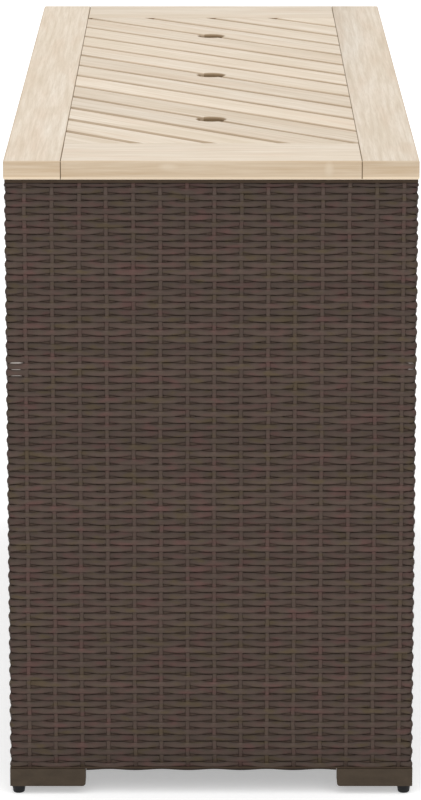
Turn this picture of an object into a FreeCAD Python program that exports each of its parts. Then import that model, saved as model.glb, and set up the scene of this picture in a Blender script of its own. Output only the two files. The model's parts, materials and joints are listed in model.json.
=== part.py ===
import FreeCAD, Part
import math
import os

Vector = FreeCAD.Vector

# Overall size of the table, in millimetres
TABLE_LENGTH = 1345.0
TABLE_WIDTH = 502.0
TABLE_HEIGHT = 800.0

# Wooden top: a grooved frame round a field of diagonal slats
TOP_THICKNESS = 23.0
STILE_WIDTH = 69.0
RAIL_WIDTH = 126.5
BOARD_GAP = 0.4
ARRIS = 1.5
SLATS_ACROSS = 4
SLATS_ALONG = 12
SLAT_GAP = 6.5
TONGUE_LENGTH = 8.0
TONGUE_THICKNESS = 8.0
TONGUE_CLEARANCE = 0.3
POLE_HOLE_DIAMETER = 35.0
POLE_HOLE_JOINTS = (-4, 0, 4)

# Battens glued under the slats, and the angle brackets that hold the top on the tube frame
BATTEN_WIDTH = 45.0
BATTEN_THICKNESS = 18.0
BATTEN_SPACING = 182.0
BATTEN_SETBACK = 43.0
BRACKET_LEG = 18.0
BRACKET_WIDTH = 30.0
BRACKET_THICKNESS = 2.0
BRACKETS_PER_SIDE = 3

# Loose tenons between rails and stiles
TENON_THICKNESS = 10.0
TENON_WIDTH = 60.0
TENON_LENGTH = 60.0
TENON_CLEARANCE = 0.1

# Tube frame and woven skins
TUBE_SIZE = 20.0
TUBE_WALL = 1.5
TUBE_CHAMFER = 1.0
SKIN_THICKNESS = 3.0
SKIN_INSET = 0.5
SKIN_EDGE_GAP = 0.5
SKIN_ROUND = 2.5
LEAST_LAND = 0.3

# A connector bolt at each corner, with a plate on the post for a head and a nut inside the upright
BOLT_DIAMETER = 6.0
BOLT_END = 3.5
BOLT_PLATE_WIDTH = 17.0
BOLT_PLATE_HEIGHT = 24.0
BOLT_PLATE_THICKNESS = 1.2
BOLT_CLEARANCE = 0.3
BOLT_FROM_TOP = 231.0
NUT_WIDTH = 10.0
NUT_THICKNESS = 5.0
NUT_SIDES = 6

# Corner feet
FOOT_LENGTH = 94.0
FOOT_HEIGHT = 22.5
FOOT_ROUND = 4.0

# Levelling glides: a pad, a stud that turns in it, and a plug in the post, threaded nearer the corner
GLIDE_OFFSET = 2.5
PAD_FLOOR = 3.5
PAD_SOCKET = 7.0
PAD_DIAMETER = 17.0
PAD_CHAMFER = 2.0
STUD_DIAMETER = 6.0
STUD_REACH = 18.0
STUD_CLEARANCE = 0.1
INSERT_HEIGHT = 20.0
INSERT_CLEARANCE = 0.1

# Levels
PAD_HEIGHT = PAD_FLOOR + PAD_SOCKET
FRAME_BOTTOM = PAD_HEIGHT + FOOT_HEIGHT
FRAME_TOP = TABLE_HEIGHT - TOP_THICKNESS
TONGUE_BOTTOM = FRAME_TOP + (TOP_THICKNESS - TONGUE_THICKNESS) / 2
TONGUE_TOP = TONGUE_BOTTOM + TONGUE_THICKNESS
BOLT_LEVEL = FRAME_TOP - BOLT_FROM_TOP

# Plan of the top
HALF_WIDTH = TABLE_WIDTH / 2
HALF_LENGTH = TABLE_LENGTH / 2
FIELD_X = HALF_WIDTH - STILE_WIDTH
FIELD_Y = HALF_LENGTH - RAIL_WIDTH
GROOVE_DEPTH = TONGUE_LENGTH + TONGUE_CLEARANCE

# Diagonal slats: their joints meet each edge of the field at equal steps, and two of them its corners
STEP_X = 2 * FIELD_X / SLATS_ACROSS
STEP_Y = 2 * FIELD_Y / SLATS_ALONG
SLAT_COUNT = SLATS_ACROSS + SLATS_ALONG
SLAT_ANGLE = math.degrees(math.atan2(STEP_X, STEP_Y))
SLAT_PITCH = STEP_X * STEP_Y / math.hypot(STEP_X, STEP_Y)

# Plan of the frame, from the outer face of the skin inwards
SKIN_X = HALF_WIDTH - SKIN_INSET
SKIN_Y = HALF_LENGTH - SKIN_INSET
FRAME_X = SKIN_X - SKIN_THICKNESS
FRAME_Y = SKIN_Y - SKIN_THICKNESS
INNER_X = FRAME_X - TUBE_SIZE
INNER_Y = FRAME_Y - TUBE_SIZE
UPRIGHT_Y = INNER_Y - TUBE_SIZE
POST_X = FRAME_X - TUBE_SIZE / 2
POST_Y = FRAME_Y - TUBE_SIZE / 2
GLIDE_X = POST_X + GLIDE_OFFSET
GLIDE_Y = POST_Y + GLIDE_OFFSET

# Directions, and the four corners as side and end
ORIGIN = Vector(0, 0, 0)
ALONG_X = Vector(1, 0, 0)
ALONG_Y = Vector(0, 1, 0)
UP = Vector(0, 0, 1)
SIDES = {"left": -1, "right": 1}
ENDS = {"front": -1, "back": 1}
CORNERS = {"fl": (-1, -1), "fr": (1, -1), "bl": (-1, 1), "br": (1, 1)}
TOUCH = 1e-6


def block(x0, x1, y0, y1, z0, z1):
    """A block between two corners."""
    return Part.makeBox(x1 - x0, y1 - y0, z1 - z0, Vector(x0, y0, z0))


def rod(radius, base, direction, length):
    """A round bar from a point along a direction."""
    return Part.makeCylinder(radius, length, base, direction)


def put(shape, side, end):
    """A shape modelled at +X and +Y, brought to one side and end by mirroring."""
    if side < 0:
        shape = shape.mirror(ORIGIN, ALONG_X)
    if end < 0:
        shape = shape.mirror(ORIGIN, ALONG_Y)
    return shape


def runs_along(edge, axis):
    """Whether an edge is parallel to an axis."""
    return edge.tangentAt(edge.FirstParameter).cross(axis).Length < TOUCH


def tube(x0, x1, y0, y1, z0, z1, axis):
    """A square tube along an axis, with eased outer edges and open ends."""
    outer = block(x0, x1, y0, y1, z0, z1)
    outer = outer.makeChamfer(TUBE_CHAMFER, [e for e in outer.Edges if runs_along(e, axis)])
    inset = (Vector(1, 1, 1) - axis) * TUBE_WALL
    inner = block(x0 + inset.x, x1 - inset.x, y0 + inset.y, y1 - inset.y, z0 + inset.z, z1 - inset.z)
    return outer.cut(inner)


def on_rim(edge):
    """Whether an edge of a board lies on the rim of the top. Uprights count at the corners only."""
    middle = edge.CenterOfMass
    at_side = abs(abs(middle.x) - HALF_WIDTH) < TOUCH
    at_end = abs(abs(middle.y) - HALF_LENGTH) < TOUCH
    if runs_along(edge, UP):
        return at_side and at_end
    return at_side or at_end


def tenon(clearance):
    """The loose tenon across the joint at +X and +Y, or its mortise where a clearance is given."""
    along = TENON_LENGTH / 2 + clearance
    across = TENON_WIDTH / 2 + clearance
    y = FIELD_Y + RAIL_WIDTH / 2
    bottom = FRAME_TOP + (TOP_THICKNESS - TENON_THICKNESS) / 2
    top = bottom + TENON_THICKNESS
    return block(FIELD_X - along, FIELD_X + along, y - across, y + across, bottom, top)


def top_bracket(y):
    """An angle bracket in the corner between a side tube and the stile above it."""
    y0 = y - BRACKET_WIDTH / 2
    y1 = y + BRACKET_WIDTH / 2
    inner = INNER_X - BRACKET_LEG
    upper = block(inner, INNER_X, y0, y1, FRAME_TOP - BRACKET_THICKNESS, FRAME_TOP)
    lower = block(INNER_X - BRACKET_THICKNESS, INNER_X, y0, y1, FRAME_TOP - BRACKET_LEG, FRAME_TOP)
    return upper.fuse(lower).removeSplitter()


def top_brackets():
    """All angle brackets, spread evenly along both sides."""
    step = 2 * INNER_Y / BRACKETS_PER_SIDE
    places = [step * (i + 0.5) - INNER_Y for i in range(BRACKETS_PER_SIDE)]
    return Part.makeCompound([put(top_bracket(y), side, 1) for y in places for side in SIDES.values()])


def top_stile(side):
    """A long board of the top, grooved for the slats and mortised."""
    board = block(FIELD_X, HALF_WIDTH, -HALF_LENGTH, HALF_LENGTH, FRAME_TOP, TABLE_HEIGHT)
    board = board.makeChamfer(ARRIS, [e for e in board.Edges if on_rim(e)])
    groove_y = FIELD_Y + GROOVE_DEPTH
    groove_top = TONGUE_TOP + TONGUE_CLEARANCE
    board = board.cut(block(FIELD_X, FIELD_X + GROOVE_DEPTH, -groove_y, groove_y, TONGUE_BOTTOM, groove_top))
    mortise = tenon(TENON_CLEARANCE)
    board = board.cut(mortise).cut(put(mortise, 1, -1))
    return put(board, side, 1)


def top_rail(end):
    """An end board of the top, between the stiles."""
    half = FIELD_X - BOARD_GAP
    board = block(-half, half, FIELD_Y, HALF_LENGTH, FRAME_TOP, TABLE_HEIGHT)
    board = board.makeChamfer(ARRIS, [e for e in board.Edges if on_rim(e)])
    groove_top = TONGUE_TOP + TONGUE_CLEARANCE
    board = board.cut(block(-half, half, FIELD_Y, FIELD_Y + GROOVE_DEPTH, TONGUE_BOTTOM, groove_top))
    mortise = tenon(TENON_CLEARANCE)
    board = board.cut(mortise).cut(put(mortise, -1, 1))
    return put(board, 1, end)


def pole_hole(joint):
    """A round hole through the top, on the centre line and on a joint between slats."""
    base = Vector(0, joint * STEP_Y, FRAME_TOP)
    return rod(POLE_HOLE_DIAMETER / 2, base, UP, TOP_THICKNESS)


def slat_strip(index):
    """The diagonal strip of space that one slat may fill. The first and last run on to the corners."""
    first = index * SLAT_PITCH - SLAT_COUNT * SLAT_PITCH / 2
    low = first + SLAT_GAP / 2 if index > 0 else -TABLE_LENGTH
    high = first + SLAT_PITCH - SLAT_GAP / 2 if index < SLAT_COUNT - 1 else TABLE_LENGTH
    strip = block(low, high, -TABLE_LENGTH, TABLE_LENGTH, 0, TABLE_HEIGHT)
    return strip.rotate(ORIGIN, UP, SLAT_ANGLE)


def slat(index):
    """A diagonal slat, tongued along the ends that meet the frame."""
    face_x = FIELD_X - BOARD_GAP
    face_y = FIELD_Y - BOARD_GAP
    tongue_x = FIELD_X + TONGUE_LENGTH
    tongue_y = FIELD_Y + TONGUE_LENGTH
    face = block(-face_x, face_x, -face_y, face_y, FRAME_TOP, TABLE_HEIGHT)
    tongue = block(-tongue_x, tongue_x, -tongue_y, tongue_y, TONGUE_BOTTOM, TONGUE_TOP)
    board = face.fuse(tongue).common(slat_strip(index)).removeSplitter()
    for joint in POLE_HOLE_JOINTS:
        board = board.cut(pole_hole(joint))
    return board


def batten(side):
    """A long batten that carries the slats and laps under the rails."""
    x = BATTEN_SPACING / 2
    y = INNER_Y - BATTEN_SETBACK
    half = BATTEN_WIDTH / 2
    board = block(x - half, x + half, -y, y, FRAME_TOP - BATTEN_THICKNESS, FRAME_TOP)
    return put(board, side, 1)


def bolt_bore():
    """The clearance hole of a corner bolt, through the post and one wall of the upright beside it."""
    depth = TUBE_SIZE + TUBE_SIZE / 2
    return rod(BOLT_DIAMETER / 2 + BOLT_CLEARANCE, Vector(POST_X, FRAME_Y, BOLT_LEVEL), -ALONG_Y, depth)


def corner_post(side, end):
    """A post of an end frame."""
    post = tube(INNER_X, FRAME_X, INNER_Y, FRAME_Y, FRAME_BOTTOM, FRAME_TOP, UP)
    return put(post.cut(bolt_bore()), side, end)


def end_rail(end, bottom):
    """A cross tube of an end frame, welded between its posts."""
    rail = tube(-INNER_X, INNER_X, INNER_Y, FRAME_Y, bottom, bottom + TUBE_SIZE, ALONG_X)
    return put(rail, 1, end)


def side_rail(side, bottom):
    """A long tube of a side frame, between the posts."""
    rail = tube(INNER_X, FRAME_X, -INNER_Y, INNER_Y, bottom, bottom + TUBE_SIZE, ALONG_Y)
    return put(rail, side, 1)


def side_upright(y0):
    """An upright tube of a side frame, welded between its rails."""
    return tube(INNER_X, FRAME_X, y0, y0 + TUBE_SIZE, FRAME_BOTTOM + TUBE_SIZE, FRAME_TOP - TUBE_SIZE, UP)


def side_stiles(side):
    """The uprights of a side frame: one beside each post and one in the middle."""
    beside_post = side_upright(UPRIGHT_Y).cut(bolt_bore())
    uprights = [beside_post, side_upright(-TUBE_SIZE / 2), put(beside_post, 1, -1)]
    return put(Part.makeCompound(uprights), side, 1)


def bolt_plate(clearance):
    """The head plate of a corner bolt, or the hollow over it where a clearance is given."""
    half = BOLT_PLATE_WIDTH / 2 + clearance
    rise = BOLT_PLATE_HEIGHT / 2 + clearance
    front = FRAME_Y + BOLT_PLATE_THICKNESS + clearance
    return block(POST_X - half, POST_X + half, FRAME_Y, front, BOLT_LEVEL - rise, BOLT_LEVEL + rise)


def corner_bolt():
    """A connector bolt with a flat head plate, which lies on the post under the weave."""
    length = TUBE_SIZE + TUBE_WALL + NUT_THICKNESS + BOLT_END
    shank = rod(BOLT_DIAMETER / 2, Vector(POST_X, FRAME_Y, BOLT_LEVEL), -ALONG_Y, length)
    return bolt_plate(0).fuse(shank)


def corner_nut():
    """A hexagon nut, welded inside the upright."""
    face_y = INNER_Y - TUBE_WALL
    radius = NUT_WIDTH / 2 / math.cos(math.pi / NUT_SIDES)
    turns = [2 * math.pi * i / NUT_SIDES for i in range(NUT_SIDES + 1)]
    rim = [Vector(POST_X + radius * math.cos(t), face_y, BOLT_LEVEL + radius * math.sin(t)) for t in turns]
    nut = Part.Face(Part.makePolygon(rim)).extrude(-ALONG_Y * NUT_THICKNESS)
    return nut.cut(bolt_bore())


def at_all_corners(piece):
    """A group of one piece at each of the four corners."""
    return Part.makeCompound([put(piece, *corner) for corner in CORNERS.values()])


def corner_foot(side, end):
    """An L-shaped foot under a corner, flush with the weave, with rounded noses and a hole for the stud."""
    nose_x = SKIN_X - FOOT_LENGTH
    nose_y = SKIN_Y - FOOT_LENGTH
    outline = [
        (nose_x, SKIN_Y),
        (SKIN_X, SKIN_Y),
        (SKIN_X, nose_y),
        (INNER_X, nose_y),
        (INNER_X, INNER_Y),
        (nose_x, INNER_Y),
        (nose_x, SKIN_Y),
    ]
    plan = Part.Face(Part.makePolygon([Vector(x, y, PAD_HEIGHT) for x, y in outline]))
    foot = plan.extrude(UP * FOOT_HEIGHT)
    corner = [e for e in foot.Edges if runs_along(e, UP) and e.CenterOfMass.x + e.CenterOfMass.y > FRAME_X + FRAME_Y]
    foot = foot.makeFillet(skin_round(), corner)
    noses = [e for e in foot.Edges if is_nose(e, nose_x, nose_y)]
    foot = foot.makeFillet(FOOT_ROUND, noses)
    foot = foot.cut(stud_hole(PAD_HEIGHT, FOOT_HEIGHT))
    return put(foot, side, end)


def is_nose(edge, nose_x, nose_y):
    """Whether an edge is the lower edge at the tip of a foot's arm."""
    middle = edge.CenterOfMass
    at_tip = abs(middle.x - nose_x) < TOUCH or abs(middle.y - nose_y) < TOUCH
    return at_tip and abs(middle.z - PAD_HEIGHT) < TOUCH


def stud_hole(level, length):
    """The clearance hole of a stud."""
    return rod(STUD_DIAMETER / 2 + STUD_CLEARANCE, Vector(GLIDE_X, GLIDE_Y, level), UP, length)


def glide_insert():
    """The threaded plug in the lower end of a post."""
    half = TUBE_SIZE / 2 - TUBE_WALL - INSERT_CLEARANCE
    top = FRAME_BOTTOM + INSERT_HEIGHT
    plug = block(POST_X - half, POST_X + half, POST_Y - half, POST_Y + half, FRAME_BOTTOM, top)
    return plug.cut(stud_hole(FRAME_BOTTOM, INSERT_HEIGHT))


def glide_pad(side, end):
    """A pad with an eased base and a blind socket for the stud."""
    pad = rod(PAD_DIAMETER / 2, Vector(GLIDE_X, GLIDE_Y, 0), UP, PAD_HEIGHT)
    pad = pad.makeChamfer(PAD_CHAMFER, [e for e in pad.Edges if e.BoundBox.ZMax < TOUCH])
    return put(pad.cut(stud_hole(PAD_FLOOR, PAD_SOCKET)), side, end)


def glide_stud(side, end):
    """A stud, its foot in the pad and its shank up through the corner foot into the plug."""
    length = FRAME_BOTTOM + STUD_REACH - PAD_FLOOR
    stud = rod(STUD_DIAMETER / 2, Vector(GLIDE_X, GLIDE_Y, PAD_FLOOR), UP, length)
    return put(stud, side, end)


def skin_round():
    """Radius of the outer corners of weave and feet, within the thickness of the skin."""
    return min(SKIN_ROUND, SKIN_THICKNESS - LEAST_LAND)


def wicker_end(end):
    """The woven skin of an end, rounded at the corners and hollowed over the bolt plates."""
    bottom = FRAME_BOTTOM + SKIN_EDGE_GAP
    skin = block(-SKIN_X, SKIN_X, FRAME_Y, SKIN_Y, bottom, FRAME_TOP - SKIN_EDGE_GAP)
    corners = [e for e in skin.Edges if runs_along(e, UP) and abs(e.CenterOfMass.y - SKIN_Y) < TOUCH]
    skin = skin.makeFillet(skin_round(), corners)
    hollow = bolt_plate(BOLT_CLEARANCE)
    return put(skin.cut(hollow).cut(put(hollow, -1, 1)), 1, end)


def wicker_side(side):
    """The woven skin of a long side, between the end skins."""
    bottom = FRAME_BOTTOM + SKIN_EDGE_GAP
    skin = block(FRAME_X, SKIN_X, -FRAME_Y, FRAME_Y, bottom, FRAME_TOP - SKIN_EDGE_GAP)
    return put(skin, side, 1)


def table():
    """All pieces of the table by name."""
    pieces = {
        "rail_tenons": at_all_corners(tenon(0)),
        "top_brackets": top_brackets(),
        "corner_bolts": at_all_corners(corner_bolt()),
        "corner_nuts": at_all_corners(corner_nut()),
        "glide_inserts": at_all_corners(glide_insert()),
    }
    for index in range(SLAT_COUNT):
        pieces[f"slat_{index + 1:02d}"] = slat(index)
    for name, side in SIDES.items():
        pieces[f"top_stile_{name}"] = top_stile(side)
        pieces[f"batten_{name}"] = batten(side)
        pieces[f"side_top_rail_{name}"] = side_rail(side, FRAME_TOP - TUBE_SIZE)
        pieces[f"side_bottom_rail_{name}"] = side_rail(side, FRAME_BOTTOM)
        pieces[f"side_stiles_{name}"] = side_stiles(side)
        pieces[f"wicker_side_{name}"] = wicker_side(side)
    for name, end in ENDS.items():
        pieces[f"top_rail_{name}"] = top_rail(end)
        pieces[f"end_top_rail_{name}"] = end_rail(end, FRAME_TOP - TUBE_SIZE)
        pieces[f"end_bottom_rail_{name}"] = end_rail(end, FRAME_BOTTOM)
        pieces[f"wicker_end_{name}"] = wicker_end(end)
    for name, corner in CORNERS.items():
        pieces[f"corner_post_{name}"] = corner_post(*corner)
        pieces[f"corner_foot_{name}"] = corner_foot(*corner)
        pieces[f"glide_pad_{name}"] = glide_pad(*corner)
        pieces[f"glide_stud_{name}"] = glide_stud(*corner)
    return pieces


os.makedirs("parts", exist_ok=True)
for piece_name, piece in table().items():
    piece.exportStep(f"parts/{piece_name}.step")
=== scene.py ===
import json
import math

import bmesh
import bpy
import numpy as np
from mathutils import Matrix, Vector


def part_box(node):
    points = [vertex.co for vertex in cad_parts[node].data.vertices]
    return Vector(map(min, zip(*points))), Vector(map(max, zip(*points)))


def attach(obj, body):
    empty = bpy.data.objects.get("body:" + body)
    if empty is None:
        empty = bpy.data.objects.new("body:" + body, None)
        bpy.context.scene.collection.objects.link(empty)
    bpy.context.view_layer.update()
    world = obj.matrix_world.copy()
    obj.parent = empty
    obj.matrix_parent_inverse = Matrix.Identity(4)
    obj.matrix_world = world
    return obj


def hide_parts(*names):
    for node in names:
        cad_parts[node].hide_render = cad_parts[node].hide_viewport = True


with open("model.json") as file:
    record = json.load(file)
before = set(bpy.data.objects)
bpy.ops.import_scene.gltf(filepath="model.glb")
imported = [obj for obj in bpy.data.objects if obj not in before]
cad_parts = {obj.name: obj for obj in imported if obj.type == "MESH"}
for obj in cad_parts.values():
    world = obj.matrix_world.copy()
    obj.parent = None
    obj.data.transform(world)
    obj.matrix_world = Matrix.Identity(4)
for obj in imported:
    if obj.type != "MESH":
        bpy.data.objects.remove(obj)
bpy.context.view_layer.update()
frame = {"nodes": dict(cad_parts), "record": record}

MM = 0.001
SCENE = bpy.context.scene
NODES = frame["nodes"]
SIDES = ("left", "right")
ENDS = ("front", "back")
CORNERS = ("fl", "fr", "bl", "br")
SLATS = sorted(name for name in NODES if name.startswith("slat_"))

# Points closer than WELD are one point, and lengths below HAIR count as none
WELD = 0.001 * MM
HAIR = 0.01 * MM
SMOOTH_ANGLE = math.radians(35)


# Colours and materials

def srgb(r, g, b):
    """Linear colour of an 8-bit display colour."""
    def linear(c):
        c /= 255
        return c / 12.92 if c <= 0.04045 else ((c + 0.055) / 1.055) ** 2.4
    return (linear(r), linear(g), linear(b), 1.0)


# Noises: scale along X, Y and Z, then detail, roughness and distortion
BROAD_NOISE = ((2.6, 18, 18), 3.0, 0.55, 0.4)
WARM_NOISE = ((4.5, 30, 30), 2.0, 0.5, 0.3)
GRAIN_NOISE = ((7, 190, 190), 3.0, 0.6, 0.3)
FIBRE_NOISE = ((30, 900, 900), 2.0, 0.6, 0.0)
SIDE_NOISE = ((9, 9, 230), 3.0, 0.6, 0.2)
HUE_NOISE = ((34, 34, 80), 2.0, 0.6, 0.0)
STREAK_NOISE = ((25, 25, 900), 2.0, 0.5, 0.0)
CLOUD_NOISE = ((40, 40, 90), 4.0, 0.65, 0.0)
FINE_NOISE = ((450, 450, 450), 3.0, 0.6, 0.0)
NOISE_RANGE = (0.3, 0.7)
CLOUD_RANGE = (0.35, 0.65)

# Tints: the range of a noise over which a colour comes in, its share there and the colour
WARM_TINT = ((0.5, 0.72), 0.6, srgb(231, 208, 185))
GRAIN_TINT = ((0.35, 0.72), 0.6, srgb(205, 186, 160))
FIBRE_TINT = ((0.42, 0.7), 0.4, srgb(209, 192, 168))
STREAK_TINT = ((0.4, 0.7), 0.2, srgb(68, 54, 46))

# Bumps: strength and depth in metres
WOOD_BUMP = (0.12, 0.4 * MM)
STRAND_BUMP = (0.15, 0.3 * MM)
THREAD_BUMP = (1.0, 0.3 * MM)
SPECKLE_DEPTH = 0.4 * MM

# Gloss, the roughness of uneven finishes from one end of their noise to the other
SPECULAR = 0.2
WOOD_ROUGHNESS = (0.54, 0.66)
STRAND_ROUGHNESS = (0.44, 0.56)
THREAD_ROUGHNESS = 0.32
GLOSS_SPREAD = 0.06

# Wood: the grain is moved along by board, and a board's tone sets its brightness between two levels
BOARD_OFFSETS = (7.0, 3.0, 5.0)
TOP_STOPS = ((0.3, srgb(229, 214, 193)), (0.52, srgb(239, 225, 207)), (0.72, srgb(243, 232, 217)))
TOP_LEVELS = (0.84, 1.04)
SIDE_LEVELS = (0.88, 1.04)
# Painted shade in joints and pole holes
JOINT_SHADE_COLOUR = srgb(150, 126, 96)

# Sides of boards, dark and light. Painted shade darkens them from the lower edge to the upper edge, and a
# painted highlight runs along the lower edge
OUTER_SIDES = (srgb(203, 178, 147), srgb(219, 200, 175))
# The slats' sides are darker than the outer sides: painted shade in the gaps between slats
SLAT_SIDES = (srgb(190, 168, 141), srgb(208, 187, 161))
SIDE_PAINTED_SHADE = (1.07, 0.94)
# A painted highlight: a pale band along the lower edge of the board sides
LOWER_EDGE_LIGHT_FROM = 4.0 * MM
LOWER_EDGE_LIGHT_FULL = 2.4 * MM
LOWER_EDGE_LIGHT_SHARE = 0.95
LOWER_EDGE_LIGHT_COLOUR = srgb(247, 225, 196)
# Painted light on faces that look down
UNDERSIDE_PAINTED_LIGHT = srgb(246, 226, 199)

# Upward part of the normal where faces begin to count as top, do so fully, and turn to underside, whose
# paler colour is painted light
OUTER_TOP_FROM = 0.7
# Slats count more of their eased edges as side, which widens the painted shade between slats
SLAT_TOP_FROM = 0.75
TOP_FULL = 0.98
UNDERSIDE_RANGE = (-0.3, -0.6)

# Pale knots on the edge of the front rail: middle and half sizes in metres
KNOTS = (
    ((0.142, -0.672, 0.7895), (0.007, 0.02, 0.012)),
    ((-0.052, -0.672, 0.793), (0.014, 0.02, 0.005)),
)
KNOT_CORE = 0.3
KNOT_SHARE = 0.6
KNOT_COLOUR = srgb(226, 209, 186)

# Strand: olive, grey, brown and red patches
STRAND_STOPS = (
    (0.32, srgb(81, 68, 51)),
    (0.44, srgb(80, 67, 59)),
    (0.56, srgb(82, 66, 59)),
    (0.68, srgb(89, 65, 60)),
)


class Shader:
    """A node material with short ways to add and link nodes."""

    def __init__(self, name):
        self.material = bpy.data.materials.new(name)
        self.material.use_nodes = True
        self.tree = self.material.node_tree
        self.bsdf = self.tree.nodes["Principled BSDF"]

    def node(self, kind, **settings):
        n = self.tree.nodes.new(kind)
        for key, value in settings.items():
            setattr(n, key, value)
        return n

    def feed(self, socket, source):
        """Set a socket to a number, vector or colour, or link it to another socket."""
        if isinstance(source, (int, float, tuple)):
            socket.default_value = source
        else:
            self.tree.links.new(source, socket)

    def surface(self, name, source):
        """Feed a socket of the surface shader."""
        self.feed(self.bsdf.inputs[name], source)

    def attribute(self, name):
        return self.node("ShaderNodeAttribute", attribute_name=name).outputs["Fac"]

    def math(self, operation, *sources):
        n = self.node("ShaderNodeMath", operation=operation)
        for socket, source in zip(n.inputs, sources):
            self.feed(socket, source)
        return n.outputs[0]

    def vector(self, operation, *sources):
        n = self.node("ShaderNodeVectorMath", operation=operation)
        for socket, source in zip(n.inputs, sources):
            self.feed(socket, source)
        return n.outputs["Value" if operation == "LENGTH" else "Vector"]

    def scaled(self, color, factor):
        n = self.node("ShaderNodeVectorMath", operation="SCALE")
        self.feed(n.inputs[0], color)
        self.feed(n.inputs["Scale"], factor)
        return n.outputs[0]

    def upward(self, vector):
        """The Z part of a vector."""
        n = self.node("ShaderNodeSeparateXYZ")
        self.feed(n.inputs[0], vector)
        return n.outputs[2]

    def mix(self, factor, a, b):
        n = self.node("ShaderNodeMix", data_type="RGBA")
        for socket, source in ((n.inputs["Factor"], factor), (n.inputs[6], a), (n.inputs[7], b)):
            self.feed(socket, source)
        return n.outputs[2]

    def spread(self, factor, low, high, to_low=0.0, to_high=1.0):
        """A factor mapped from one range to another, and held inside it."""
        n = self.node("ShaderNodeMapRange")
        for socket, source in zip(n.inputs, (factor, low, high, to_low, to_high)):
            self.feed(socket, source)
        return n.outputs[0]

    def tint(self, color, factor, reach, share, toward):
        """A colour drawn towards another by a share, where a factor is in a range."""
        return self.mix(self.math("MULTIPLY", self.spread(factor, *reach), share), color, toward)

    def ramp(self, factor, *stops):
        n = self.node("ShaderNodeValToRGB")
        ramp = n.color_ramp
        while len(ramp.elements) < len(stops):
            ramp.elements.new(0.5)
        for element, (position, color) in zip(ramp.elements, stops):
            element.position = position
            element.color = color
        self.feed(n.inputs[0], factor)
        return n.outputs["Color"]

    def object_point(self, scale=(1, 1, 1), turn=0.0, shift=None):
        """Object coordinates, turned about Z, shifted and scaled."""
        m = self.node("ShaderNodeMapping", vector_type="POINT")
        self.feed(m.inputs["Vector"], self.node("ShaderNodeTexCoord").outputs["Object"])
        self.feed(m.inputs["Rotation"], (0, 0, turn))
        point = m.outputs[0] if shift is None else self.vector("ADD", m.outputs[0], shift)
        return self.vector("MULTIPLY", point, scale)

    def noise(self, kind, turn=0.0, shift=None):
        scale, *settings = kind
        n = self.node("ShaderNodeTexNoise")
        self.feed(n.inputs["Vector"], self.object_point(scale, turn, shift))
        self.feed(n.inputs["Scale"], 1.0)
        for name, source in zip(("Detail", "Roughness", "Distortion"), settings):
            self.feed(n.inputs[name], source)
        return n.outputs["Fac"]

    def blot(self, place, size):
        """One at a place, fading to zero over an ellipsoid of the given half sizes."""
        away = self.vector("SUBTRACT", self.object_point(), place)
        return self.spread(self.vector("LENGTH", self.vector("DIVIDE", away, size)), 1.0, KNOT_CORE)

    def bump(self, height, strength, depth):
        n = self.node("ShaderNodeBump")
        for name, source in (("Height", height), ("Strength", strength), ("Distance", depth)):
            self.feed(n.inputs[name], source)
        self.surface("Normal", n.outputs[0])


def wood_side(s, sides, tone, shift, up, knots):
    """Colour of the sides of a board: streaks, painted shade towards the upper edge, a painted highlight
    along the lower edge, painted light on the underside and pale knots.
    """
    low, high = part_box("top_rail_front")
    height = s.upward(s.object_point())
    color = s.mix(s.spread(s.noise(SIDE_NOISE, 0.0, shift), *NOISE_RANGE), *sides)
    # Painted shade: darker from the lower edge to the upper edge
    painted_side_shade = s.spread(height, low.z, high.z, *SIDE_PAINTED_SHADE)
    color = s.scaled(color, s.math("MULTIPLY", s.spread(tone, 0.0, 1.0, *SIDE_LEVELS), painted_side_shade))
    # Painted highlight along the lower edge
    color = s.tint(color, height, (low.z + LOWER_EDGE_LIGHT_FROM, low.z + LOWER_EDGE_LIGHT_FULL), LOWER_EDGE_LIGHT_SHARE, LOWER_EDGE_LIGHT_COLOUR)
    # Painted light on faces that look down
    color = s.mix(s.spread(up, *UNDERSIDE_RANGE), color, UNDERSIDE_PAINTED_LIGHT)
    for place, size in knots:
        color = s.mix(s.math("MULTIPLY", s.blot(place, size), KNOT_SHARE), color, KNOT_COLOUR)
    return color


def wood(name, turn, sides, top_from, knots=()):
    """Pale oiled wood with its grain along X after a turn, and other colours on its sides and joints."""
    s = Shader(name)
    tone = s.attribute("tone")
    offset = s.node("ShaderNodeCombineXYZ")
    for socket, k in zip(offset.inputs, BOARD_OFFSETS):
        s.feed(socket, s.math("MULTIPLY", tone, k))
    shift = offset.outputs[0]
    grain = s.noise(GRAIN_NOISE, turn, shift)
    fibre = s.noise(FIBRE_NOISE, turn, shift)
    top = s.ramp(s.noise(BROAD_NOISE, turn, shift), *TOP_STOPS)
    top = s.tint(top, s.noise(WARM_NOISE, turn, shift), *WARM_TINT)
    top = s.tint(top, grain, *GRAIN_TINT)
    top = s.tint(top, fibre, *FIBRE_TINT)
    top = s.scaled(top, s.spread(tone, 0.0, 1.0, *TOP_LEVELS))
    up = s.upward(s.node("ShaderNodeNewGeometry").outputs["Normal"])
    color = s.mix(s.spread(up, top_from, TOP_FULL), wood_side(s, sides, tone, shift, up, knots), top)
    # Painted shade deep in joints and pole holes
    s.surface("Base Color", s.mix(s.attribute("joint"), color, JOINT_SHADE_COLOUR))
    s.surface("Roughness", s.spread(grain, *NOISE_RANGE, *WOOD_ROUGHNESS))
    s.surface("Specular IOR Level", SPECULAR)
    s.bump(s.math("ADD", s.spread(grain, *GRAIN_TINT[0]), fibre), *WOOD_BUMP)
    return s.material


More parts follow.
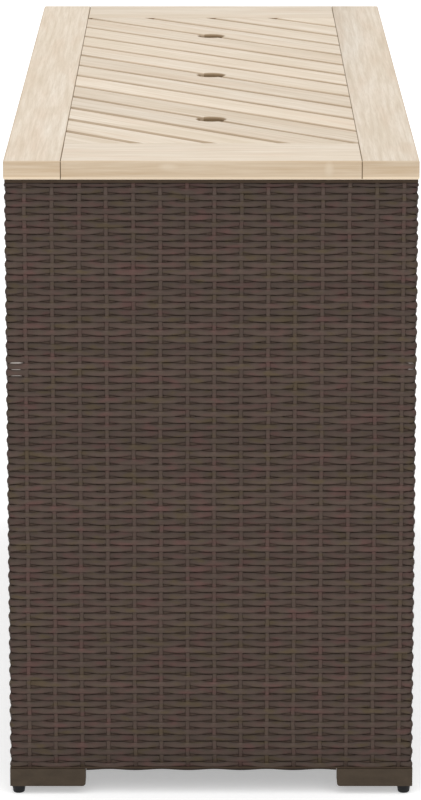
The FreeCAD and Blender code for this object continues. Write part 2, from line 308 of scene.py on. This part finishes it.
def wicker(name):
    """Brown resin strand in patches of several browns, scaled by a tone that holds a random brightness and
    painted shade.
    """
    s = Shader(name)
    streak = s.noise(STREAK_NOISE)
    color = s.tint(s.ramp(s.noise(HUE_NOISE), *STRAND_STOPS), streak, *STREAK_TINT)
    s.surface("Base Color", s.scaled(color, s.attribute("tone")))
    s.surface("Roughness", s.spread(streak, *NOISE_RANGE, *STRAND_ROUGHNESS))
    s.surface("Specular IOR Level", SPECULAR)
    s.bump(streak, *STRAND_BUMP)
    return s.material


def plain(name, dark, light, roughness, metallic=0.0, speckle=0.0):
    """A finish between two near colours, in cloudy patches, with a little unevenness in its gloss."""
    s = Shader(name)
    fine = s.noise(FINE_NOISE)
    s.surface("Base Color", s.mix(s.spread(s.noise(CLOUD_NOISE), *CLOUD_RANGE), dark, light))
    s.surface("Metallic", metallic)
    s.surface("Specular IOR Level", SPECULAR)
    gloss = s.spread(fine, *NOISE_RANGE, roughness - GLOSS_SPREAD, roughness + GLOSS_SPREAD)
    s.surface("Roughness", gloss)
    if speckle:
        s.bump(fine, speckle, SPECKLE_DEPTH)
    return s.material


def threaded(name, color, pitch):
    """Zinc with fine rings along Z for a thread."""
    s = Shader(name)
    s.surface("Base Color", color)
    s.surface("Metallic", 1.0)
    s.surface("Roughness", THREAD_ROUGHNESS)
    s.bump(s.math("SINE", s.upward(s.object_point((1, 1, 2 * math.pi / pitch)))), *THREAD_BUMP)
    return s.material


WOOD_ALONG_X = wood("wood_along_x", 0.0, OUTER_SIDES, OUTER_TOP_FROM, KNOTS)
WOOD_ALONG_Y = wood("wood_along_y", math.radians(90), OUTER_SIDES, OUTER_TOP_FROM)
WOOD_DIAGONAL = wood("wood_diagonal", math.radians(45), SLAT_SIDES, SLAT_TOP_FROM)
STRAND = wicker("strand")
# A dark sheet behind the weave for the inner strands; its dark colour is painted shade seen in the gaps
# between wefts
LINER = plain("liner", srgb(76, 62, 54), srgb(84, 70, 62), 0.85)
# The hems above and below the weave: dark bands whose colour is painted shade under the wooden top and above
# the feet
HEM = plain("hem", srgb(62, 49, 38), srgb(70, 57, 45), 0.8)
# The strand bound round the lower edge: its near-black colour is painted shade under the weave
BINDING = plain("binding", srgb(38, 30, 24), srgb(47, 37, 29), 0.8)
POWDER_COAT = plain("powder_coat", srgb(64, 54, 43), srgb(73, 62, 50), 0.6, speckle=0.2)
NYLON = plain("nylon", srgb(17, 17, 18), srgb(24, 24, 25), 0.45)
ZINC = plain("zinc", srgb(142, 135, 130), srgb(163, 155, 150), 0.4, metallic=1.0)
THREAD = threaded("thread", srgb(205, 205, 202), 1.0 * MM)


# Objects

def add(name, mesh, materials, body, node):
    """A finished piece that rides a body and stands for a CAD node."""
    o = bpy.data.objects.new(name, mesh)
    SCENE.collection.objects.link(o)
    for m in materials:
        mesh.materials.append(m)
    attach(o, body)
    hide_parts(node)


def mesh_from(name, points, faces, smooth, tone):
    """A mesh from an array of points, an array of equal faces and a tone for each point."""
    points = np.asarray(points, np.float32).reshape(-1, 3)
    faces = np.asarray(faces, np.int32)
    count, size = faces.shape
    mesh = bpy.data.meshes.new(name)
    mesh.vertices.add(len(points))
    mesh.vertices.foreach_set("co", points.ravel())
    mesh.loops.add(count * size)
    mesh.loops.foreach_set("vertex_index", faces.ravel())
    mesh.polygons.add(count)
    mesh.polygons.foreach_set("loop_start", np.arange(count, dtype=np.int32) * size)
    mesh.polygons.foreach_set("use_smooth", np.full(count, smooth))
    layer = mesh.attributes.new("tone", "FLOAT", "POINT")
    layer.data.foreach_set("value", np.asarray(tone, np.float32).ravel())
    mesh.update(calc_edges=True)
    mesh.validate()
    return mesh


def joined(name, meshes):
    """One mesh from several, with their materials kept in order."""
    bm = bmesh.new()
    for index, mesh in enumerate(meshes):
        first = len(bm.faces)
        bm.from_mesh(mesh)
        bm.faces.ensure_lookup_table()
        for face in bm.faces[first:]:
            face.material_index = index
        bpy.data.meshes.remove(mesh)
    out = bpy.data.meshes.new(name)
    bm.to_mesh(out)
    bm.free()
    return out


# Wooden top: each board is its CAD shape with flat faces joined up and edges eased

LONG_EASE = 3.4 * MM
END_EASE = 0.75 * MM
EASE_SEGMENTS = 3
SQUARE_ANGLE = math.radians(60)
FLAT_ANGLE = math.radians(0.5)
POLE_HOLES = [mount for mount in frame["record"]["mounts"] if mount["kind"] == "bore"]

# Tones of boards, from 0 for dark to 1 for light
STILE_TONE = {"left": 0.70, "right": 0.48}
RAIL_TONE = {"front": 0.76, "back": 0.5}
BATTEN_TONE = 0.3
SLAT_TONE = (0.6, 0.96)
SLAT_SEED = 11


def outer_edges(bm, squared):
    """Square edges along the top of a board and down its end, those along X, Y and Z or the others."""
    top = max(v.co.z for v in bm.verts) - HAIR
    end = max(abs(v.co.y) for v in bm.verts) - HAIR
    picked = []
    for e in bm.edges:
        a, b = e.verts
        if len(e.link_faces) == 2 and e.calc_face_angle() > SQUARE_ANGLE:
            outer = min(a.co.z, b.co.z) > top or min(abs(a.co.y), abs(b.co.y)) > end
            along_axis = sum(abs(d) > HAIR for d in b.co - a.co) == 1
            if outer and along_axis == squared:
                picked.append(e)
    return picked


def joint_depth(points, node):
    """How deep in a joint or pole hole points of a board lie, from 0 on its open faces to 1."""
    low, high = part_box(node)
    x, y = np.abs(points[:, 0]), np.abs(points[:, 1])
    if node.startswith("top_stile"):
        return np.clip(1 - (x - min(abs(low.x), abs(high.x))) / END_EASE, 0, 1)
    if node.startswith("top_rail"):
        ends = 1 - (high.x - x) / END_EASE
        inner = 1 - (y - min(abs(low.y), abs(high.y))) / END_EASE
        return np.clip(np.maximum(ends, inner), 0, 1)
    if node in SLATS:
        clear = [
            np.hypot(x, points[:, 1] - hole["pos_m"][1]) - hole["dims"]["r_mm"] * MM
            for hole in POLE_HOLES
        ]
        return np.clip(1 - np.min(clear, 0) / LONG_EASE, 0, 1)
    return np.zeros(len(points))


def order_by_place(bm):
    """Points and faces in order of place, because a bevel leaves them in an order that differs by run."""
    places = ((bm.verts, lambda v: v.co[:]), (bm.faces, lambda face: face.calc_center_median()[:]))
    for elements, place in places:
        rank = {e: n for n, e in enumerate(sorted(elements, key=place))}
        elements.sort(key=rank.get)


def board(node, material, tone):
    """One board with its tone, and with its faces marked by how deep in a joint they lie."""
    bm = bmesh.new()
    bm.from_mesh(NODES[node].data)
    bmesh.ops.remove_doubles(bm, verts=bm.verts, dist=WELD)
    bmesh.ops.dissolve_limit(bm, angle_limit=FLAT_ANGLE, verts=bm.verts, edges=bm.edges)
    for squared, offset in ((False, LONG_EASE), (True, END_EASE)):
        bmesh.ops.bevel(
            bm, geom=outer_edges(bm, squared), offset=offset, segments=EASE_SEGMENTS, profile=0.5,
            affect="EDGES", clamp_overlap=True,
        )
    bmesh.ops.remove_doubles(bm, verts=bm.verts, dist=WELD)
    order_by_place(bm)
    mesh = bpy.data.meshes.new("seen_" + node)
    bm.to_mesh(mesh)
    bm.free()
    mesh.shade_smooth()
    mesh.set_sharp_from_angle(angle=SMOOTH_ANGLE)
    at_corners = joint_depth(np.array([v.co for v in mesh.vertices]), node)
    at_middles = joint_depth(np.array([face.center for face in mesh.polygons]), node)
    joint = [
        min(middle, at_corners[face.vertices].mean())
        for middle, face in zip(at_middles, mesh.polygons)
    ]
    for name, values in (("tone", np.full(len(joint), tone)), ("joint", joint)):
        layer = mesh.attributes.new(name, "FLOAT", "FACE")
        layer.data.foreach_set("value", np.array(values, np.float32))
    add("seen_" + node, mesh, [material], "table", node)


def wooden_top():
    rng = np.random.default_rng(SLAT_SEED)
    for side in SIDES:
        board(f"top_stile_{side}", WOOD_ALONG_Y, STILE_TONE[side])
        board(f"batten_{side}", WOOD_ALONG_Y, BATTEN_TONE)
    for end in ENDS:
        board(f"top_rail_{end}", WOOD_ALONG_X, RAIL_TONE[end])
    for slat in SLATS:
        board(slat, WOOD_DIAGONAL, rng.uniform(*SLAT_TONE))


# Woven skins: weft strands pass over and under upright stakes, in front of a liner

SKIN = 3.0 * MM
LINER_THICKNESS = 0.12 * MM

# Rows of wefts: a little closer together at the top than at the bottom, with thin ones at both ends
ROWS = 87
ROW_DROP = 0.35 * MM
ROW_BOW = 0.032
FIRST_ROW_DROP = 0.2
LAST_ROW_RISE = 0.08
FIRST_ROW_SIZE = 0.6
LAST_ROW_SIZE = 0.8

# Wefts: sag and waist at stakes, with random lift and size
STRAND_HEIGHT = 7.7 * MM
STRAND_THICKNESS = 1.15 * MM
UNDER = LINER_THICKNESS + STRAND_THICKNESS
SAG = 0.45 * MM
LIFT_SPREAD = 0.34 * MM
WAIST = 0.9
SIZE_SPREAD = 0.045

# Stakes, and samples of a weft from one stake to the next
STAKE_WIDTH = 5.4 * MM
STAKE_THICKNESS = 0.55 * MM
STAKE_SAMPLES = 25
STAKE_SWAY = 0.35 * MM
END_STAKES = 15
END_STAKE_PITCH = 32.76 * MM
END_STAKE_MIDDLE = 3.65 * MM
END_STEPS = 6
SIDE_STAKES = 41
SIDE_STEPS = 4

# Hems above and below, and the strand that hangs below the lower one at even and odd stakes
TOP_HEM = 3.4 * MM
BOTTOM_HEM = 1.8 * MM
HEM_THICKNESS = 2.2 * MM
HEM_INSET = 1.0 * MM
EDGE_HANGS = (2.8 * MM, 1.3 * MM)
EDGE_LAP = 0.6 * MM
EDGE_STEPS = 8
FOOT_CLEARANCE = 1.0 * MM

# Corners: every other weft goes round in a thick lobe, the others close to the frame
LOBE_RADIUS = 2.5 * MM
LOBE_HEIGHT = 1.45
LOBE_THICKNESS = 2.3 * MM
LOBE_REACH = 6.0 * MM
CORNER_TURNS = np.radians([0.0, 22.5, 45.0, 67.5, 90.0])
CORNER_SPACE = 0.3 * MM
CORNER_TUCK = 0.05 * MM

# Tones, and shares of shade at corners, under the top, near the floor, under stakes and in the gaps
WEFT_TONE = (0.91, 1.18)
STAKE_TONE = (0.82, 0.98)
CORNER_SHADE = 0.33
CORNER_SHADE_REACH = 4.5 * MM
TOP_SHADE = 0.24
TOP_SHADE_REACH = 55.0 * MM
FLOOR_SHADE = 0.13
FLOOR_SHADE_REACH = 70.0 * MM
DIP_SHADE = 0.18
DIP_FROM = 0.4
DIP_FADE = 0.5
POCKET_SHADE = 0.28
POCKET_PLACE = 0.22
SLOPE_SHADE = 0.28
SLOPE_FADE = 0.35
UPPER_SLOPE = 0.36

# Bolt plates behind the weave: wefts part over the left ones, close over the right ones, and pinch once
PLATE_REACH = 14.5 * MM
PLATE_FADE = 4.0 * MM
PLATE_THICKNESS = 1.2 * MM
PLATE_GAP = 0.05 * MM
PLATE_SHOWN = 0.89
PLATE_HIDDEN = 1.11
PLATE_LIFTS = (-0.4 * MM, 0.25 * MM)
GLINT_REACH = 8.0 * MM
PINCH_PLACE = 242.5 * MM
PINCH_REACH = 4.4 * MM
PINCH_SIZE = 0.81

# Cross-sections as fractions of height and thickness: a domed outer face, then a flat back
ROUND_PROFILE = np.array([
    (-0.5, -0.42), (-0.36, 0.1), (-0.14, 0.47), (0.14, 0.47),
    (0.36, 0.1), (0.5, -0.42), (0.42, -0.5), (-0.42, -0.5),
])
PLAIN_PROFILE = np.array([
    (-0.5, -0.42), (-0.2, 0.42), (0.2, 0.42), (0.5, -0.42), (0.42, -0.5), (-0.42, -0.5),
])
FLAT_PROFILE = np.array([
    (-0.5, -0.05), (-0.3, 0.5), (0.3, 0.5), (0.5, -0.05), (0.4, -0.5), (-0.4, -0.5),
])


def pointing(path, axis, length=1):
    """The same direction along one axis for each sample of the paths."""
    out = np.zeros_like(path)
    out[..., axis] = length
    return out


def swept(path, across, out, height, thickness, profile):
    """Points of strands swept along paths. Arrays are strand x sample x 3, sizes strand x sample."""
    a = profile[:, 0][None, None, :, None] * height[:, :, None, None] * across[:, :, None, :]
    b = profile[:, 1][None, None, :, None] * thickness[:, :, None, None] * out[:, :, None, :]
    return path[:, :, None, :] + a + b


def strand_faces(points):
    """Quads along swept strands and over both ends of each."""
    strands, samples, ring = points.shape[:3]
    s, i, j = np.meshgrid(np.arange(strands), np.arange(samples - 1), np.arange(ring), indexing="ij")
    here = (s * samples + i) * ring
    k = (j + 1) % ring
    tubes = np.stack([here + j, here + ring + j, here + ring + k, here + k], -1).reshape(-1, 4)
    ends = []
    for strand in range(strands):
        first = strand * samples * ring
        last = first + (samples - 1) * ring
        for q in range(1, ring - 2, 2):
            ends.append((first, first + q, first + q + 1, first + q + 2))
            ends.append((last, last + q + 2, last + q + 1, last + q))
    return np.concatenate([tubes, np.array(ends)])


def span(places, at):
    """The space between two places that each point lies in, and how far across it the point is."""
    index = np.clip(np.searchsorted(places, at) - 1, 0, len(places) - 2)
    return index, (at - places[index]) / (places[index + 1] - places[index])


def wave(values, places, at):
    """Smooth values along a strand, through given values at given places."""
    index, t = span(places, at)
    t = (1 - np.cos(np.pi * t)) / 2
    return values[:, index] * (1 - t) + values[:, index + 1] * t


def swell(places, at):
    """Zero at each place and one midway between places."""
    return (1 - np.cos(2 * np.pi * span(places, at)[1])) / 2


def ease(t):
    """Smooth step from 0 to 1."""
    t = np.clip(t, 0, 1)
    return t * t * (3 - 2 * t)


def row_levels(bottom, top):
    """Heights of the rows, and the space of each as a share of the mean space."""
    fall = (np.arange(ROWS) + 0.5) / ROWS
    spacing = 1 - ROW_BOW * (1 - 2 * fall)
    level = top - (fall - ROW_BOW * fall * (1 - fall)) * (top - bottom) - ROW_DROP
    pitch = (top - bottom) / ROWS
    level[0] -= FIRST_ROW_DROP * pitch
    level[-1] += LAST_ROW_RISE * pitch + ROW_DROP
    return level, spacing


def weft_shades(over, places, at):
    """Painted shade on wefts where they dip under stakes, and painted shade on their upper slopes."""
    index, t = span(places, at)
    t = np.where(over[:, index], t, 1 - t)
    dip = 1 - DIP_SHADE * ease((t - DIP_FROM) / DIP_FADE)
    pocket = POCKET_SHADE * ease(1 - np.abs(t - POCKET_PLACE) / POCKET_PLACE)
    slope = SLOPE_SHADE * ease(np.minimum(t, 1 - t) / SLOPE_FADE)
    return dip, pocket + slope


def plate_middle():
    """Height of the middle of the bolt plates."""
    low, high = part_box("corner_bolts")
    return (low.z + high.z) / 2


def plate_zone(u, level, reach):
    """One where a weft passes over a bolt plate, fading to zero at a reach beside its middle."""
    low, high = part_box("corner_bolts")
    post_low, post_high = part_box("corner_post_fr")
    centre = (post_low.x + post_high.x) / 2
    beside = ease((reach - np.abs(np.abs(u) - centre)) / PLATE_FADE)
    over_plate = np.abs(level - plate_middle()) < (high.z - low.z + STRAND_HEIGHT) / 2
    return beside[None, :] * over_plate[:, None]


def over_plates(u, level, outer, z, size):
    """Depth, height and size of wefts that are pushed out by the bolt plates."""
    zone = plate_zone(u, level, PLATE_REACH)
    glint = plate_zone(u, level, GLINT_REACH) * (u < 0)
    outer = np.maximum(outer, zone * (PLATE_THICKNESS + STRAND_THICKNESS + PLATE_GAP))
    size = size + zone * (PLATE_HIDDEN + (PLATE_SHOWN - PLATE_HIDDEN) * glint - size)
    near = np.argmin(np.abs(level - plate_middle()))
    size[near] += ease(1 - np.abs(u - PINCH_PLACE) / PINCH_REACH) * (PINCH_SIZE - size[near])
    lifted = np.zeros((ROWS, 1))
    lifted[near:near + len(PLATE_LIFTS), 0] = PLATE_LIFTS
    z = z + zone * (level[:, None] + lifted * (u < 0) - z)
    return outer, z, size


def round_corners(half, over, u, d, thickness, *others):
    """Wefts with their ends led round the corner, and what else is known along them."""
    keep = np.abs(u[0]) < half - SKIN - CORNER_SPACE
    bend = np.where(over, LOBE_RADIUS, UNDER)[:, None]
    inset = np.where(over, 0.0, SKIN - UNDER)[:, None]
    radius = bend - thickness[:, -1:] / 2
    reach = half - inset - bend + radius * np.sin(CORNER_TURNS)
    depth = SKIN - inset - bend + radius * np.cos(CORNER_TURNS)
    reach = np.concatenate([reach, reach[:, -1:]], 1)
    depth = np.concatenate([depth, np.full((len(u), 1), -CORNER_TUCK)], 1)
    n = reach.shape[1]

    def edged(a):
        return np.concatenate([np.repeat(a[:, :1], n, 1), a[:, keep], np.repeat(a[:, -1:], n, 1)], 1)

    return (
        np.concatenate([-reach[:, ::-1], u[:, keep], reach], 1),
        np.concatenate([depth[:, ::-1], d[:, keep], depth], 1),
        *[edged(a) for a in (thickness, *others)],
    )


def wefts(bottom, top, half, stakes, wraps, steps, profile, rng):
    """Points, faces and tones of the wefts of one skin, with painted shade in the tones."""
    level, spacing = row_levels(bottom, top)
    places = np.concatenate([[-half], stakes, [half]])
    over = (np.arange(ROWS)[:, None] + np.arange(len(places))[None, :]) % 2 == 0
    spans = [np.linspace(a, b, steps, endpoint=False) for a, b in zip(places[:-1], places[1:])]
    u = np.concatenate([*spans, [half]])
    lobe = ease(1 - (half - np.abs(u)) / LOBE_REACH)[None, :] * over[:, :1]
    outer = wave(np.where(over, SKIN, UNDER), places, u)
    lift = rng.normal(0, LIFT_SPREAD, over.shape) + np.where(over, -SAG, SAG)
    lift[:, 0] = lift[:, -1] = 0
    z = level[:, None] + wave(lift, places, u)
    uneven = wave(rng.normal(0, SIZE_SPREAD, over.shape), places, u)
    size = WAIST + (1 - WAIST) * 2 * swell(places, u) + uneven
    size[0] *= FIRST_ROW_SIZE
    size[-1] *= LAST_ROW_SIZE
    if wraps:
        outer, z, size = over_plates(u, level, outer, z, size)
    size = size * (1 + (LOBE_HEIGHT - 1) * lobe)
    thickness = STRAND_THICKNESS + (LOBE_THICKNESS - STRAND_THICKNESS) * lobe
    dip, shade = weft_shades(over, places, u)
    # Painted shade at the corners, under the top and near the floor
    corner_painted_shade = 1 - CORNER_SHADE * ease(1 - (half - np.abs(u)) / CORNER_SHADE_REACH)
    top_painted_shade = 1 - TOP_SHADE * ease(1 - (top - level) / TOP_SHADE_REACH)
    floor_painted_shade = 1 - FLOOR_SHADE * ease(1 - (level - bottom) / FLOOR_SHADE_REACH)
    tone = (rng.uniform(*WEFT_TONE, ROWS) * top_painted_shade * floor_painted_shade)[:, None] * corner_painted_shade * dip
    u = np.repeat(u[None, :], ROWS, 0)
    d = outer - thickness / 2
    if wraps:
        u, d, thickness, z, size, tone, shade = round_corners(
            half, over[:, 0], u, d, thickness, z, size, tone, shade,
        )
    path = np.stack([u, d, z], -1)
    along = np.gradient(path, axis=1)
    along[..., 2] = 0
    along /= np.linalg.norm(along, axis=2, keepdims=True)
    out = np.stack([-along[..., 1], along[..., 0], np.zeros_like(u)], -1)
    height = STRAND_HEIGHT * spacing[:, None] * size
    points = swept(path, pointing(path, 2), out, height, thickness, profile)
    upper = np.clip(profile[:, 0] / UPPER_SLOPE, 0, 1)
    return points, strand_faces(points), tone[:, :, None] * (1 - shade[:, :, None] * upper)


def uprights(bottom, top, stakes, rng):
    """Points, faces and tones of the stakes between the two layers of wefts, a little out of true."""
    z = np.linspace(bottom, top, STAKE_SAMPLES)
    u = stakes[:, None] + rng.normal(0, STAKE_SWAY, (len(stakes), len(z)))
    depth = np.full_like(u, (SKIN + LINER_THICKNESS) / 2)
    path = np.stack([u, depth, np.repeat(z[None, :], len(stakes), 0)], -1)
    width, thickness = np.full_like(u, STAKE_WIDTH), np.full_like(u, STAKE_THICKNESS)
    points = swept(path, pointing(path, 0, -1), pointing(path, 1), width, thickness, FLAT_PROFILE)
    tone = rng.uniform(*STAKE_TONE, len(stakes))[:, None, None]
    return points, strand_faces(points), np.broadcast_to(tone, points.shape[:3])


def lower_edge(bottom, reach, stakes):
    """Points and faces of a strand bound round the lower edge, which hangs lowest at every other stake."""
    u = np.linspace(-reach, reach, EDGE_STEPS * len(stakes))
    hang = wave(np.resize(EDGE_HANGS, (1, len(stakes))), stakes, u)
    thickness = np.full_like(hang, HEM_THICKNESS)
    path = np.stack([u[None, :], thickness / 2, bottom + (EDGE_LAP - hang) / 2], -1)
    points = swept(path, pointing(path, 2), pointing(path, 1), hang + EDGE_LAP, thickness, FLAT_PROFILE)
    return points, strand_faces(points)


def slab(low, high):
    """Points and faces of a box."""
    xs, ys, zs = zip(low, high)
    points = np.array([(x, y, z) for x in xs for y in ys for z in zs])
    faces = np.array([(0, 1, 3, 2), (4, 6, 7, 5), (0, 4, 5, 1), (2, 3, 7, 6), (0, 2, 6, 4), (1, 5, 7, 3)])
    return points, faces


def placed(points, u_axis, out_axis, frame_face):
    """Points of a skin, from its own plane to the table's frame."""
    p = np.asarray(points).reshape(-1, 3)
    across, out, up = np.array(u_axis, float), np.array(out_axis, float), np.array([0.0, 0.0, 1.0])
    return p[:, :1] * across + (p[:, 1:2] + frame_face) * out + p[:, 2:] * up


def skin(name, node, u_axis, out_axis, seed, half, stakes, frame_face, wraps, steps, profile):
    """One woven side in its own plane: u along it, d out from the frame, z up. The ends wrap the corners."""
    rng = np.random.default_rng(seed)
    low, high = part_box(node)
    bottom, top = low.z + BOTTOM_HEM, high.z - TOP_HEM
    back = half - SKIN if wraps else half
    hem = half - HEM_INSET if wraps else half
    foot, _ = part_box("corner_foot_br")
    between_feet = (foot.x if wraps else foot.y) - FOOT_CLEARANCE
    pieces = [
        wefts(low.z, high.z, half, stakes, wraps, steps, profile, rng),
        uprights(bottom, top, stakes, rng),
        # The liner, dark as painted shade
        slab((-back, 0, bottom), (back, LINER_THICKNESS, top)),
        # The hems at the top and bottom, dark as painted shade
        slab((-hem, 0, top), (hem, HEM_THICKNESS, high.z)),
        slab((-hem, 0, low.z), (hem, HEM_THICKNESS, bottom)),
        # The lower edge strand, near-black as painted shade
        lower_edge(low.z, between_feet, stakes),
    ]
    meshes = []
    for index, (points, faces, *tone) in enumerate(pieces):
        p = placed(points, u_axis, out_axis, frame_face)
        tones = tone[0] if tone else np.zeros(len(p))
        meshes.append(mesh_from(f"{name}_{index}", p, faces, bool(tone), tones))
    materials = [STRAND, STRAND, LINER, HEM, HEM, BINDING]
    add(name, joined(name, meshes), materials, "table", node)


def woven_skins():
    _, end_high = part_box("wicker_end_back")
    _, side_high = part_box("wicker_side_right")
    count = np.arange(END_STAKES) - (END_STAKES - 1) / 2
    end = {
        "half": end_high.x,
        "stakes": END_STAKE_MIDDLE + END_STAKE_PITCH * count,
        "frame_face": end_high.y - SKIN,
        "wraps": True,
        "steps": END_STEPS,
        "profile": ROUND_PROFILE,
    }
    side = {
        "half": side_high.y,
        "stakes": side_high.y * ((np.arange(SIDE_STAKES) + 0.5) / SIDE_STAKES * 2 - 1),
        "frame_face": side_high.x - SKIN,
        "wraps": False,
        "steps": SIDE_STEPS,
        "profile": PLAIN_PROFILE,
    }
    skin("weave_front", "wicker_end_front", (1, 0, 0), (0, -1, 0), seed=1, **end)
    skin("weave_back", "wicker_end_back", (-1, 0, 0), (0, 1, 0), seed=2, **end)
    skin("weave_left", "wicker_side_left", (0, -1, 0), (-1, 0, 0), seed=3, **side)
    skin("weave_right", "wicker_side_right", (0, 1, 0), (1, 0, 0), seed=4, **side)


# Glide pads: turned shapes, a little tapered, with a rounded base

PAD_ROUND = 2.6 * MM
PAD_ROUND_STEPS = 7
PAD_TAPER = 1.1 * MM
PAD_SEGMENTS = 48
PAD_SMOOTH_ANGLE = math.radians(40)

# Insets of the upper rim from the pad's radius and top
PAD_RIM = ((0.02 * MM, 0.5 * MM), (0.4 * MM, 0.05 * MM))


def turned(name, profile):
    """A closed turned solid about Z, from points of radius and height that go up from its base."""
    angles = np.linspace(0, 2 * math.pi, PAD_SEGMENTS, endpoint=False)
    bm = bmesh.new()
    rings = [[bm.verts.new((r * math.cos(a), r * math.sin(a), z)) for a in angles] for r, z in profile]
    for lower, upper in zip(rings[:-1], rings[1:]):
        for j in range(PAD_SEGMENTS):
            k = (j + 1) % PAD_SEGMENTS
            bm.faces.new((lower[j], lower[k], upper[k], upper[j]))
    bm.faces.new(list(reversed(rings[0])))
    bm.faces.new(rings[-1])
    for face in bm.faces:
        face.smooth = True
    mesh = bpy.data.meshes.new(name)
    bm.to_mesh(mesh)
    bm.free()
    mesh.set_sharp_from_angle(angle=PAD_SMOOTH_ANGLE)
    return mesh


def glides():
    for corner in CORNERS:
        node = f"glide_pad_{corner}"
        low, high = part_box(node)
        radius = (high.x - low.x) / 2
        flat = radius - PAD_TAPER - PAD_ROUND
        turns = np.linspace(0, math.pi / 2, PAD_ROUND_STEPS)
        profile = [(flat + PAD_ROUND * math.sin(a), PAD_ROUND - PAD_ROUND * math.cos(a)) for a in turns]
        profile += [(radius - inset, high.z - drop) for inset, drop in PAD_RIM]
        mesh = turned("seen_" + node, profile)
        mesh.transform(Matrix.Translation(((low.x + high.x) / 2, (low.y + high.y) / 2, 0)))
        add("seen_" + node, mesh, [NYLON], f"pad_{corner}", node)


# CAD shapes shown as they are, with a finish, and with eased edges on the frame

FOOT_EASE = 1.2 * MM
TUBE_EASE = 0.3 * MM
FRAME_EASE_SEGMENTS = 2
FINISHES = {"wood": WOOD_ALONG_X, "frame": POWDER_COAT, "nylon": NYLON, "zinc": ZINC, "wicker": LINER}


def finish_cad():
    for part in frame["record"]["subparts"]:
        node, slot = part["node"], part["material_slot"]
        o = NODES[node]
        o.data.materials.clear()
        o.data.materials.append(THREAD if node.startswith("glide_stud") else FINISHES[slot])
        if slot == "frame":
            weld = o.modifiers.new("weld", "WELD")
            weld.merge_threshold = WELD
            bevel = o.modifiers.new("ease", "BEVEL")
            bevel.width = FOOT_EASE if node.startswith("corner_foot") else TUBE_EASE
            bevel.segments = FRAME_EASE_SEGMENTS
            bevel.limit_method = "ANGLE"
            bevel.angle_limit = SMOOTH_ANGLE
            bevel.harden_normals = True


# Surroundings: white floor and sky, soft light from above and in front

WHITE = (1, 1, 1, 1)
SKY_LIGHT = 0.7
SKY_SEEN = 1.0
FLOOR_SIZE = 60
FLOOR_LIGHT = (0.9, 0.9, 0.9, 1)
FLOOR_ROUGHNESS = 0.9
FLOOR_SEEN = (0.8, 0.8, 0.8, 1)
FLOOR_GLOW = 0.415
LAMP_STRENGTH = 1.2
LAMP_WIDTH = math.radians(80)
LAMP_TILT = math.radians(32)
CAMERA_LENS = 193.55
CAMERA_REACH = 100
CAMERA_PLACE = (-0.00095, -5.779, 1.6997)
CAMERA_PITCH = math.radians(13.172)


def seen_or_lighting(tree, seen, lighting, output):
    """One shader for rays from the camera, mirrors and glass, and another for light on things."""
    path = tree.nodes.new("ShaderNodeLightPath")
    factor = path.outputs["Is Camera Ray"]
    for name in ("Is Glossy Ray", "Is Transmission Ray"):
        either = tree.nodes.new("ShaderNodeMath")
        either.operation = "MAXIMUM"
        tree.links.new(factor, either.inputs[0])
        tree.links.new(path.outputs[name], either.inputs[1])
        factor = either.outputs[0]
    mix = tree.nodes.new("ShaderNodeMixShader")
    tree.links.new(factor, mix.inputs[0])
    tree.links.new(lighting, mix.inputs[1])
    tree.links.new(seen, mix.inputs[2])
    tree.links.new(mix.outputs[0], output)


def floor():
    bpy.ops.mesh.primitive_plane_add(size=FLOOR_SIZE)
    o = bpy.context.object
    o.name = "floor"
    s = Shader("floor")
    s.surface("Base Color", FLOOR_LIGHT)
    s.surface("Roughness", FLOOR_ROUGHNESS)
    s.surface("Specular IOR Level", 0.0)
    shaded = s.node("ShaderNodeBsdfDiffuse")
    s.feed(shaded.inputs["Color"], FLOOR_SEEN)
    glow = s.node("ShaderNodeEmission")
    s.feed(glow.inputs["Strength"], FLOOR_GLOW)
    both = s.node("ShaderNodeAddShader")
    s.feed(both.inputs[0], shaded.outputs[0])
    s.feed(both.inputs[1], glow.outputs[0])
    output = s.tree.nodes["Material Output"].inputs["Surface"]
    seen_or_lighting(s.tree, both.outputs[0], s.bsdf.outputs[0], output)
    o.data.materials.append(s.material)


def sky():
    world = bpy.data.worlds.new("sky")
    SCENE.world = world
    world.use_nodes = True
    tree = world.node_tree
    lighting = tree.nodes["Background"]
    seen = tree.nodes.new("ShaderNodeBackground")
    for node, strength in ((lighting, SKY_LIGHT), (seen, SKY_SEEN)):
        node.inputs["Color"].default_value = WHITE
        node.inputs["Strength"].default_value = strength
    output = tree.nodes["World Output"].inputs["Surface"]
    seen_or_lighting(tree, seen.outputs[0], lighting.outputs[0], output)


def lamp():
    data = bpy.data.lights.new("softbox", "SUN")
    data.energy = LAMP_STRENGTH
    data.angle = LAMP_WIDTH
    o = bpy.data.objects.new("softbox", data)
    SCENE.collection.objects.link(o)
    o.rotation_euler = (LAMP_TILT, 0, 0)


def camera():
    data = bpy.data.cameras.new("camera")
    data.lens = CAMERA_LENS
    data.clip_end = CAMERA_REACH
    o = bpy.data.objects.new("camera", data)
    SCENE.collection.objects.link(o)
    o.location = CAMERA_PLACE
    o.rotation_euler = (math.radians(90) - CAMERA_PITCH, 0, 0)
    SCENE.camera = o


SCENE.view_settings.view_transform = "Standard"
wooden_top()
woven_skins()
glides()
finish_cad()
floor()
sky()
lamp()
camera()
bpy.context.view_layer.update()
